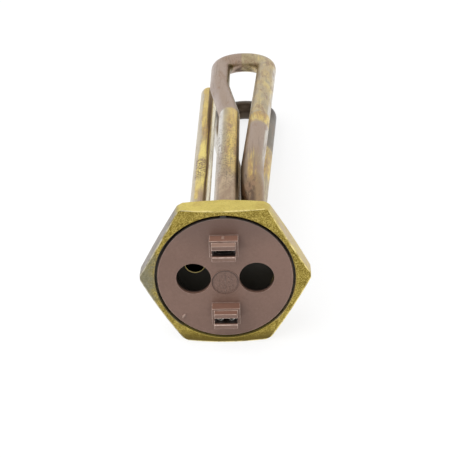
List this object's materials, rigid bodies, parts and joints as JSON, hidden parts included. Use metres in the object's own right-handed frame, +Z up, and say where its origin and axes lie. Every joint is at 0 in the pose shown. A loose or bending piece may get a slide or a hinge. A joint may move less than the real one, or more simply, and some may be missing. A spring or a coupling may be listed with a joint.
{
  "type": "screw plug immersion heater",
  "caption": "Brass hexagon screw plug with a looped tubular heating element, a closed sensor pocket and a moulded cover with shrouded blade terminals.",
  "frame": {"origin": "centre of the sealing shoulder, on the axis of the thread", "axes": "+Y along the thread into the tank, +Z up through a flat of the hexagon, +X towards the loops' open side"},
  "size_m": [0.0566, 0.1844, 0.05],
  "materials": {
    "brass": "machined and dulled, with fine pits",
    "cover_plastic": "moulded, finely grained",
    "contact_tin": "tinned",
    "pin_steel": "plain",
    "ceramic": "fired ceramic and packed powder",
    "resin": "cast",
    "sheath_metal": "drawn tube with heat tint",
    "wire": "oxidised wire",
    "braze": "as flowed"
  },
  "bodies": {
    "root": {"plug_body": "brass", "terminal_cover": "cover_plastic", "upper_contact": "contact_tin", "lower_contact": "contact_tin", "upper_terminal_pin": "pin_steel", "lower_terminal_pin": "pin_steel", "upper_end_bush": "ceramic", "lower_end_bush": "ceramic", "upper_resin_seal": "resin", "lower_resin_seal": "resin", "heater_sheath": "sheath_metal", "magnesia_packing": "ceramic", "resistance_coil": "wire", "sensor_pocket": "sheath_metal", "upper_braze": "braze", "lower_braze": "braze", "pocket_braze": "braze"}
  },
  "joints": []
}
